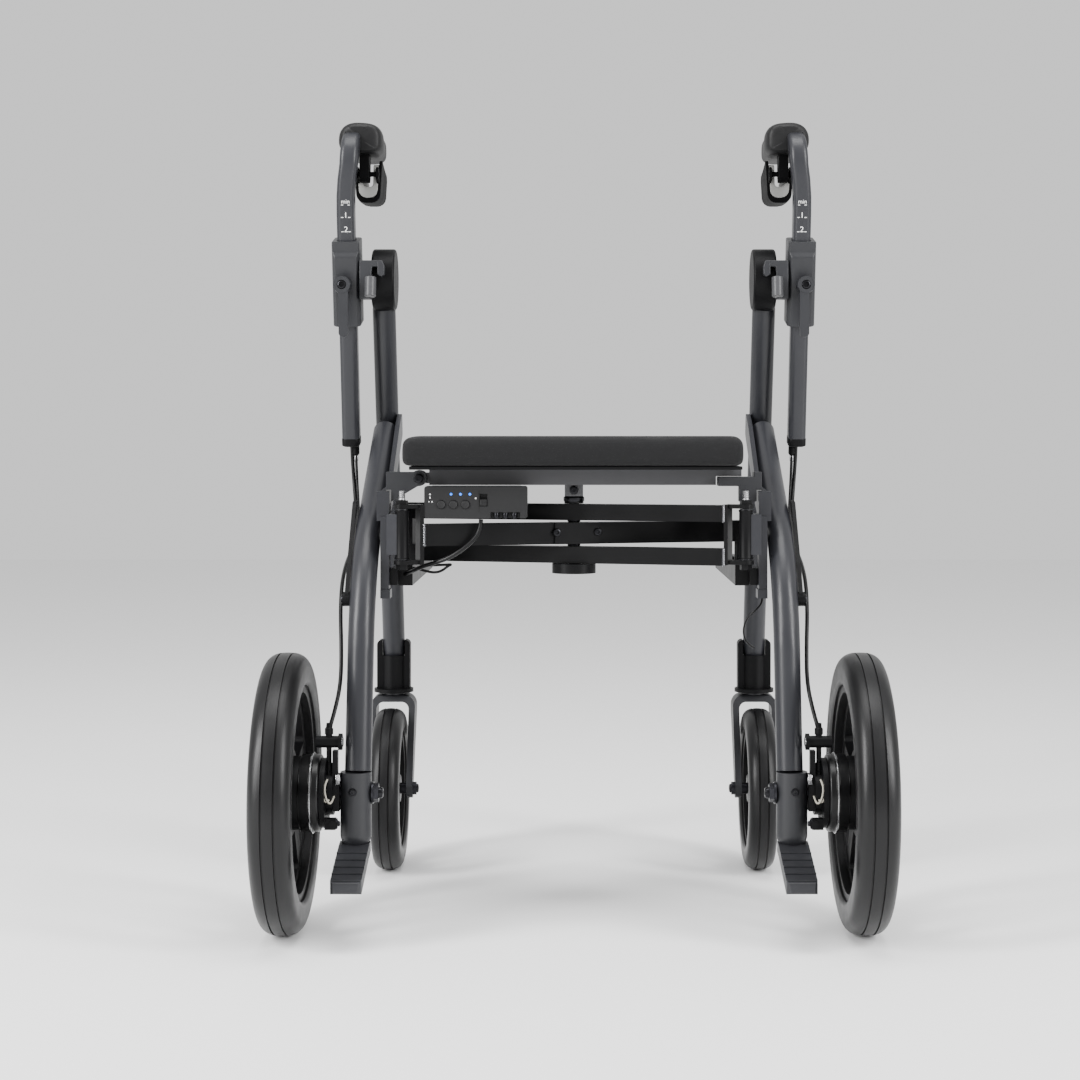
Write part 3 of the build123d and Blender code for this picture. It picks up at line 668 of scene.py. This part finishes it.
def tyre(side, word, which, x, y, radius, width, inner, grooves, body):
    """A solid tyre: a crowned tread with two fine grooves, round shoulders and smooth walls."""
    half = width / 2
    profile = [(-half + 3.0, inner), (-half + 0.8, inner + 3.0)]
    for share in (0.18, 0.38, 0.56):
        profile.append((-half + 0.25 * (1 - share), inner + share * (radius - inner)))
    centre = radius - half * 0.72
    for i in range(1, 10):
        a = math.pi / 2 * i / 10
        profile.append((-half * math.cos(a) ** 0.72, centre + (radius - centre) * math.sin(a)))
    left = [p for p in profile if p[0] < -grooves - 1.2]
    middle = []
    for p in (-grooves - 1.0, -grooves - 0.5, -grooves + 0.5, -grooves + 1.0, -grooves * 0.4):
        deep = 1.7 if abs(p + grooves) < 0.6 else 0.0
        middle.append((p, radius - 0.25 * (abs(p) / grooves) - deep))
    profile = left + middle + [(0.0, radius)]
    profile += [(-px, pr) for px, pr in reversed(left + middle)]
    shape = Shape(side)
    shape.lathe(profile, (x, y, radius), steps=128, closed=True)
    shape.finish(f"{word}_{which}_tyre_moulded", body, "tyre_rubber", replaces=(f"{word}_{which}_tyre",))


def motor_trim(side, word):
    """The polished ring, the cover screws and the cap of the hub motor."""
    body = f"{word}_rear_wheel"
    ring = Shape(side)
    ring.lathe([(-0.8, 42.8), (-0.8, 43.6), (-0.4, 44.0), (0.4, 44.0), (0.8, 43.6), (0.8, 42.8)],
               (284.5, 0, 152.5), steps=128, closed=True)
    ring.finish(f"{word}_motor_ring", body, "dark_steel", look=BRIGHT)
    screws = Shape(side)
    for i in range(6):
        a = math.radians(60 * i + 20)
        centre = (275.6, 33.5 * math.cos(a), 152.5 + 33.5 * math.sin(a))
        screws.screw(centre, (-1, 0, 0), 2.6, 1.6)
    screws.finish(f"{word}_motor_screws", body, "dark_steel", look=BLACK_STEEL)
    cap = Shape(side)
    cap.lathe([(0, 33.0), (1.5, 34.5), (4.5, 34.0), (7.0, 30.0), (7.8, 22.0), (8.0, 8.0), (8.0, 0.4)],
              (326.0, 0, 152.5), steps=96)
    cap.finish(f"{word}_hub_cap", body, "wheel_plastic", bevel=0.4)


def brake_trim(side, word):
    """What hangs on the brake plate: cable ferrule, barrel end, nuts, bolt and the motor's two wires."""
    body = f"{word}_side"
    black = Shape(side)
    black.lathe([(0, 2.6), (1, 3.6), (9, 3.6), (10, 4.6), (16, 4.6), (17, 3.4), (22, 2.9)],
                (267.0, -6.0, 207.5), axis=(0, 0, 1), steps=28)
    black.lathe([(0, 2.9), (26, 2.9)], (267.0, -6.0, 180.0), axis=(0, 0, 1), steps=20)
    black.lathe([(0, 5.2), (2, 6.0), (9, 6.0), (11, 4.4)], (267.0, -6.0, 167.5), axis=(0, 0, 1), steps=6)
    black.finish(f"{word}_cable_ferrule", body, "black_plastic", bevel=0.3)
    bright = Shape(side)
    bright.lathe([(0, 5.4), (1, 6.2), (5, 6.2), (6, 5.2)], (255.0, -12.0, 169.0), axis=(1, -0.4, 0), steps=6)
    bright.lathe([(-1.2, 4.6), (-0.6, 5.6), (0.8, 5.6), (1.2, 4.4)], (252.6, -6.0, 209.0), steps=28)
    bright.finish(f"{word}_brake_nuts", body, "dark_steel", look=BRIGHT, bevel=0.2)
    bolt = Shape(side)
    bolt.lathe([(0, 4.6), (3.4, 4.6), (3.4, 6.2), (8.6, 6.2), (8.6, 3.2), (11, 3.2), (11.4, 2.4)],
               (265.0, -19.0, 122.0), axis=(-1, 0, 0), steps=6)
    bolt.finish(f"{word}_brake_bolt", body, "dark_steel", bevel=0.3)
    for number, (dx, dz) in enumerate(((0.0, 0.0), (3.6, -1.5)), start=1):
        route = [(271.0 - dx, -20, 171 + dz), (272.5 - dx, -27, 168 + dz), (273.0 - dx, -30, 160 + dz),
                 (270.5 - dx, -30, 150 + dz), (267.0 - dx, -28, 146 + dz), (265.0 - dx, -22, 149 + dz),
                 (264.5 - dx, -14, 152 + dz)]
        cable(f"{word}_motor_wire_{number}", body, route, 1.1, look=PALE_WIRE, side=side)


def axle_trim(side, word):
    """The leg socket's hex screw and the nut and bolt ends inside the leg."""
    body = f"{word}_side"
    screw = Shape(side)
    screw.screw((240.0, -18.3, 156.0), (0, -1, 0), 4.4, 2.2, 0.5)
    screw.screw((213.0, 0.0, 152.5), (-1, 0, 0), 6.2, 4.6, 0.5)
    screw.finish(f"{word}_socket_screws", body, "dark_steel", look=BLACK_STEEL)
    front = Shape(side)
    for direction in (-1, 1):
        front.screw((231.0 + direction * 33.0, 347.0, 100.0), (direction, 0, 0), 5.6, 3.0, 0.5)
    front.finish(f"{word}_fork_screws", f"{word}_fork", "dark_steel", look=BLACK_STEEL)
    arm = Shape(side)
    arm.screw((246.2, 42.0, 361.0), (-1, 0, 0), 5.0, 2.6)
    arm.screw((256.8, 42.0, 361.0), (1, 0, 0), 5.0, 2.6)
    arm.finish(f"{word}_cable_arm_screws", body, "dark_steel", look=BLACK_STEEL)


# ---- cables ---------------------------------------------------------------------------------------

CABLE_TOP = -90.0  # inside the tube, above its lower end when the handle is fully raised
LOWER_ROUTE = [
    (270.0, 284.0, 486.0),
    (265.0, 262.0, 450.0),
    (261.5, 220.0, 424.0),
    (261.0, 172.0, 408.0),
    (262.5, 126.0, 396.0),
    (263.0, 84.0, 376.0),
    (261.0, 52.0, 346.0),
    (257.5, 30.0, 308.0),
    (256.5, 16.0, 270.0),
    (262.0, 2.0, 240.0),
    (267.0, -6.0, 222.0),
    (267.0, -6.0, 207.0),
]


def brake_cables(side, word):
    """The brake cable, its run up inside the tube, and the release cable that joins it beside the leg.

    Both runs start high enough inside the tube to stay in it when the handle is raised.
    """
    body = f"{word}_side"
    route = [on_handle(-165.0), on_handle(-212.0)] + LOWER_ROUTE
    main = cable(f"{word}_brake_cable_jacket", body, route, 2.3, side=side)
    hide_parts(f"{word}_brake_cable")
    inside = [on_handle(CABLE_TOP), on_handle(-128.0), on_handle(-166.0)]
    cable(f"{word}_brake_cable_inside_tube", body, inside, 2.3, side=side)
    second = [on_handle(CABLE_TOP, -5.0), on_handle(-190.0, -5.0), on_handle(-214.0, -5.0),
              (265.5, 281.0, 480.0), (261.5, 258.0, 452.0), (258.5, 222.0, 429.0), (257.5, 176.0, 413.0),
              (258.5, 130.0, 401.0)]
    cable(f"{word}_release_cable", body, second, 1.7, side=side)
    ferrule = Shape(side)
    middle = on_handle(-204.0, -5.0)
    down = (0, math.sin(LEAN), -math.cos(LEAN))
    ferrule.lathe([(0, 3.8), (1, 4.4), (12, 4.4), (14, 3.0)], middle, axis=down, steps=24)
    ferrule.finish(f"{word}_release_ferrule", f"{word}_handle", "black_plastic", bevel=0.3)
    tip = Shape(side)
    tip.lathe([(14, 2.3), (14.5, 2.7), (21, 2.7), (22, 2.0)], middle, axis=down, steps=24)
    tip.finish(f"{word}_release_tip", f"{word}_handle", "dark_steel", look=BRIGHT)


def frame_cables():
    """The control unit's cable, the sensor wire's loop beside it, and the sensor wire on the right."""
    route = [(-104.0, 57.0, 449.0), (-105.0, 56.0, 436.0), (-114.0, 53.0, 424.0), (-128.0, 51.0, 413.0),
             (-142.0, 53.0, 405.0), (-157.0, 59.0, 400.0), (-171.0, 68.0, 395.5), (-184.0, 79.0, 389.0),
             (-192.0, 98.0, 385.0)]
    thick = cable("control_cable_jacket", "left_side", route, 2.4)
    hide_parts("control_cable")
    loop = [(-184, 104, 392), (-178, 103, 391), (-168, 101, 388), (-158, 100, 386.5), (-150, 101, 389),
            (-144, 103, 394), (-139, 104, 396), (-150, 108, 395), (-176, 108, 394)]
    cable("sensor_wire", "left_side", loop, 1.5)
    strand = [(206, 100, 390), (210, 98, 376), (214, 92, 362), (213, 84, 352), (204, 80, 344),
              (196, 84, 336), (192, 92, 322), (196, 100, 306), (206, 110, 300)]
    cable("right_sensor_wire", "right_side", strand, 1.2)


# ---- brace and seat -------------------------------------------------------------------------------

BARREL = (192.0, 50.0)
POST_Y = 108.0
ARM_LENGTH = math.hypot(BARREL[0], POST_Y - BARREL[1])
YOKE_REACH = 23.4  # from the barrel's axis to the weld on its yoke
BEADS = 9


def arm_trim():
    """The collar's screws, the yokes' weld beads, the barrels' bolts and covers, and the post's cap."""
    screws = Shape()
    for x in (-19.5, 27.0):
        y = POST_Y + x * (POST_Y - BARREL[1]) / BARREL[0] - 13.4
        screws.screw((x, y, 433.0), (0.29, -1, 0), 4.6, 2.2, 0.5)
    screws.finish("collar_screws", "single_arm", "dark_steel", look=BLACK_STEEL)
    yokes = ((-1.0, "single_arm", ((419.5, 444.0),)), (1.0, "double_arm", ((397.5, 416.5), (446.5, 465.0))))
    for side, body, tubes in yokes:
        beads = Shape()
        for low, high in tubes:
            for i in range(BEADS):
                z = low + (high - low) * (i + 0.5) / BEADS
                reach = YOKE_REACH / ARM_LENGTH
                x = side * BARREL[0] * (1 - reach)
                y = BARREL[1] + (POST_Y - BARREL[1]) * reach - 10.8
                bead = [(-1.9, 0.5), (-1.1, 1.6), (0, 2.1), (1.1, 1.6), (1.9, 0.5)]
                beads.lathe(bead, (x - side * 3.0, y, z), axis=(side, -0.4, 0.2 * (-1) ** i), steps=12)
        beads.finish(f"{body}_weld_beads", body, "brace_black", look=WELD)
        bolts = Shape(side)
        thread = [(1 + 1.1 * k, 3.7 if k % 2 else 3.1) for k in range(1, 10)]
        bolts.lathe([(0, 3.1), (1, 3.7)] + thread + [(11.5, 2.6)], (BARREL[0], BARREL[1], 470.0),
                    axis=(0, 0, 1), steps=20)
        bolts.finish(f"{body}_barrel_bolt", body, "dark_steel", look=BRIGHT_DULL)
    for word, side in SIDES:
        cover = Shape(side)
        profile = [(1.0, 7.1), (1.0, 7.9), (2.2, 8.2), (3.4, 7.5), (53.6, 7.5), (54.8, 8.2), (56.0, 7.9),
                   (56.0, 7.1)]
        cover.lathe(profile, (BARREL[0], BARREL[1], 404.0), axis=(0, 0, 1), steps=40, closed=True)
        cover.finish(f"{word}_barrel_cover", f"{word}_side", "black_plastic", bevel=0.2)
    cap = Shape()
    cap.lathe([(0, 11.4), (1.5, 12.0), (4.5, 12.0), (6.2, 10.6), (6.6, 6.0), (6.6, 0.3)], (0, POST_Y, 467.6),
              axis=(0, 0, 1), steps=40)
    cap.lathe([(0, 6.9), (0.8, 7.5), (3.2, 7.5), (4, 6.9)], (0, POST_Y, 444.4), axis=(0, 0, 1), steps=40)
    cap.lathe([(0, 6.9), (0.8, 7.5), (1.6, 7.5), (2.4, 6.9)], (0, POST_Y, 416.8), axis=(0, 0, 1), steps=40)
    cap.finish("post_cap", "single_arm", "dark_steel", look=BLACK_STEEL, bevel=0.2)


def seat_trim():
    """The bolts of the seat's hinge and of its stop."""
    hinge = Shape()
    hinge.screw((-175.0, 67.2, 495.0), (0, -1, 0), 5.6, 2.4, 0.5)
    hinge.finish("seat_hinge_screw", "left_side", "dark_steel", look=BLACK_STEEL)
    stop = Shape()
    stop.screw((0.0, 91.8, 481.0), (0, -1, 0), 5.0, 2.4, 0.5)
    stop.finish("seat_stop_screw", "seat", "dark_steel", look=BLACK_STEEL)


def seat_pad():
    """The padded seat: filled fabric that swells between its edges, notched for the hinge."""
    low, high = 509.2, 541.0
    x0, x1, y0, y1 = -191.0, 191.0, 11.0, 207.0
    corner = 11.0
    outline = []
    for cx, cy, start in ((x1 - corner, y1 - corner, 0), (x0 + corner, y1 - corner, 1)):
        for i in range(5):
            a = math.pi / 2 * (start + i / 4)
            outline.append((cx + corner * math.cos(a), cy + corner * math.sin(a)))
    outline += [(x0, 104.0), (x0 + 1.5, 102.0), (x0 + 20.0, 101.0), (x0 + 23.0, 98.0), (x0 + 23.0, 70.0),
                (x0 + 20.0, 67.0), (x0 + 1.5, 66.0), (x0, 64.0)]
    for cx, cy, start in ((x0 + corner, y0 + corner, 2), (x1 - corner, y0 + corner, 3)):
        for i in range(5):
            a = math.pi / 2 * (start + i / 4)
            outline.append((cx + corner * math.cos(a), cy + corner * math.sin(a)))
    shape = Shape()
    middle = ((x0 + x1) / 2, (y0 + y1) / 2)
    rings = []
    levels = ((low, 3.0), (low + 1.5, 0.8), (low + 4.0, 0.0), (high - 7.0, 0.0), (high - 3.0, 1.5),
              (high - 1.0, 4.5), (high - 0.2, 9.0))
    for z, inset in levels:
        fx = 1 - inset / (x1 - middle[0])
        fy = 1 - inset / (y1 - middle[1])
        ring = []
        for x, y in outline:
            ring.append((middle[0] + (x - middle[0]) * fx, middle[1] + (y - middle[1]) * fy, z))
        rings.append(ring)
    shape.loft(rings)
    pad = shape.finish("padded_seat", "seat", "seat_fabric", replaces=("seat_pad",))
    remesh = pad.modifiers.new("remesh", "REMESH")
    remesh.mode = "VOXEL"
    remesh.voxel_size = 0.0045
    bake(pad)
    swell(pad, 0.0035)
    settle(pad, at(0, 0, low).z, at(0, 0, high + 1.5).z)
    smooth = pad.modifiers.new("smooth", "SMOOTH")
    smooth.factor = 0.5
    smooth.iterations = 4
    subdivide = pad.modifiers.new("subdivide", "SUBSURF")
    subdivide.levels = subdivide.render_levels = 1
    bake(pad)
    groove(pad)
    pad.data.shade_smooth()
    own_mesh(pad)


def bake(obj):
    """Applies an object's modifiers to its mesh."""
    graph = bpy.context.evaluated_depsgraph_get()
    mesh = bpy.data.meshes.new_from_object(obj.evaluated_get(graph))
    obj.modifiers.clear()
    for material in obj.data.materials:
        if material.name not in mesh.materials:
            mesh.materials.append(material)
    obj.data = mesh


def swell(obj, most):
    """Blows the cover up a little with cloth simulation, moving no point further than the given cap."""
    before = np.array([v.co for v in obj.data.vertices])
    cloth = obj.modifiers.new("cloth", "CLOTH")
    cloth.settings.use_pressure = True
    cloth.settings.uniform_pressure_force = 4.0
    cloth.settings.effector_weights.gravity = 0.0
    scene = bpy.context.scene
    for step in range(1, 21):
        scene.frame_set(step)
    bake(obj)
    scene.frame_set(1)
    after = np.array([v.co for v in obj.data.vertices])
    move = after - before
    length = np.linalg.norm(move, axis=1, keepdims=True)
    move *= np.minimum(1.0, most / np.maximum(length, 1e-9))
    obj.data.vertices.foreach_set("co", (before + move).astype(np.float32).ravel())


def settle(obj, floor, top):
    """Keeps the cover above the board that it rests on and below the height of its CAD solid."""
    co = np.array([v.co for v in obj.data.vertices])
    co[:, 2] = np.clip(co[:, 2], floor, top)
    obj.data.vertices.foreach_set("co", co.astype(np.float32).ravel())


def groove(obj):
    """Presses the two sewn seams that run from side to side into the top."""
    co = np.array([v.co for v in obj.data.vertices])
    high = co[:, 2].max()
    for y in (62.0, 156.0):
        distance = np.abs(co[:, 1] - at(0, y, 0).y)
        depth = 0.0016 * np.exp(-((distance / 0.0028) ** 2))
        co[:, 2] -= depth * (co[:, 2] > high - 0.009)
    obj.data.vertices.foreach_set("co", co.astype(np.float32).ravel())


# ---- control unit ---------------------------------------------------------------------------------

BOX_FACE = 46.0


def control_trim():
    """The blue lamps, the pale marks, a near-black sheet painted as the shade in the slot beside the switch, and
    the plugs in the sockets.
    """
    lamps = Shape()
    for x in (-137.0, -126.5, -116.0):
        lamps.lathe([(0, 1.5), (0.5, 1.4), (0.9, 0.9), (1.0, 0.2)], (x, BOX_FACE - 0.1, 477.6),
                    axis=(0, -1, 0), steps=20)
    lamps.finish("control_lamps", "seat", "black_plastic", look=BLUE)
    marks = Shape()
    marks.lathe([(0, 0.95), (0.25, 0.95)], (-109.5, BOX_FACE, 473.0), axis=(0, -1, 0), steps=20)
    symbols = ((-160.5, 477.5, 1.1, 0.8), (-160.5, 473.8, 0.9, 1.0), (-161.6, 469.2, 0.7, 0.5),
               (-158.2, 469.2, 0.9, 0.7))
    for x, z, w, h in symbols:
        marks.plate([(x - w, z - h), (x + w, z - h), (x + w * 0.4, z + h), (x - w * 0.4, z + h)],
                    BOX_FACE - 0.25, BOX_FACE, plane="xz")
    marks.finish("control_marks", "seat", "black_plastic", look=WHITE)
    # a thin near-black sheet on the box face, painted shade standing in for the slot's hollow beside the switch
    slot = Shape()
    slot.plate([(-106.2, 458.0), (-105.2, 458.0), (-105.2, 481.0), (-106.2, 481.0)],
               BOX_FACE - 0.2, BOX_FACE, plane="xz")
    slot.finish("switch_slot", "seat", "black_plastic", look=SLOT_PAINTED_SHADE)
    ribs = Shape()
    for k in range(4):
        z = 465.6 + 1.5 * k
        ribs.plate([(-104.0, z), (-98.0, z), (-98.0, z + 0.6), (-104.0, z + 0.6)], 43.9, 44.6, plane="xz")
    ribs.finish("switch_ribs", "slide_switch", "black_plastic", look=LOOKS["box_plastic"])
    for number, x in enumerate((-148.0, -134.5, -121.0), start=1):
        dish = Shape()
        dish.lathe([(0, 4.5), (0.5, 4.4), (0.7, 4.0), (0.45, 2.5), (0.35, 0.3)], (x, 44.9, 466.0),
                   axis=(0, -1, 0), steps=40)
        dish.finish(f"button_{number}_face", f"power_button_{number}", "black_plastic",
                    look=LOOKS["box_plastic"])
    plugs = Shape()
    for x in (-86.5, -76.5, -66.5):
        plugs.lathe([(0, 2.7), (0.8, 3.1), (5.2, 3.1), (6.2, 2.5), (7.0, 1.6)],
                    (x, BOX_FACE + 3.2, 456.5), axis=(0, 0, -1), steps=24)
    plugs.finish("socket_plugs", "seat", "dark_steel", look=BLACK_STEEL)


# ---- CAD nodes -------------------------------------------------------------------------------------

CAD_BEVEL = 0.0007


def soften(obj):
    """Welds and slightly rounds a CAD node's sharp edges with modifiers, so that they catch the light."""
    obj.modifiers.new("weld", "WELD").merge_threshold = 1e-6
    bevel = obj.modifiers.new("bevel", "BEVEL")
    bevel.width = CAD_BEVEL
    bevel.segments = 2
    bevel.limit_method = "ANGLE"
    bevel.angle_limit = SMOOTH_ANGLE
    weighted = obj.modifiers.new("weighted", "WEIGHTED_NORMAL")
    weighted.weight = 100
    weighted.thresh = 0.02


OTHER_LOOKS = {
    "joint_disc": "black_plastic",
    "brake_plate": "black_plastic",
    "centre_post": "brace_black",
    "seat_frame": "seat_bar",
    "control_box": "box_plastic",
    "slide_switch": "box_plastic",
    "power_button_1": "box_plastic",
    "power_button_2": "box_plastic",
    "power_button_3": "box_plastic",
}


def dress_cad_nodes():
    slots = {s["node"]: s["material_slot"] for s in frame["record"]["subparts"]}
    for name, obj in NODES.items():
        obj.data.materials.clear()
        plain = name.replace("left_", "").replace("right_", "")
        obj.data.materials.append(LOOKS[OTHER_LOOKS.get(plain, slots[name])])
        obj.data.shade_smooth()
        soften(obj)


make_camera()
make_studio()
dress_cad_nodes()
for word, side in SIDES:
    handle_tube(side, word)
    grip(side, word)
    lever_mount(side, word)
    brake_lever(side, word)
    scale_marks(side, word)
    sleeve(side, word)
    clamp_screw(side, word)
    joint_latch(side, word)
    tube_end(side, word)
    wheel = f"{word}_rear_wheel"
    tyre(side, word, "rear", 314.3, 0.0, 152.5, 45.0, 117.0, 6.6, wheel)
    tyre(side, word, "front", 231.0, 347.0, 100.0, 36.0, 73.0, 5.4, f"{word}_front_wheel")
    motor_trim(side, word)
    brake_trim(side, word)
    axle_trim(side, word)
    brake_cables(side, word)
frame_cables()
arm_trim()
seat_trim()
seat_pad()
control_trim()
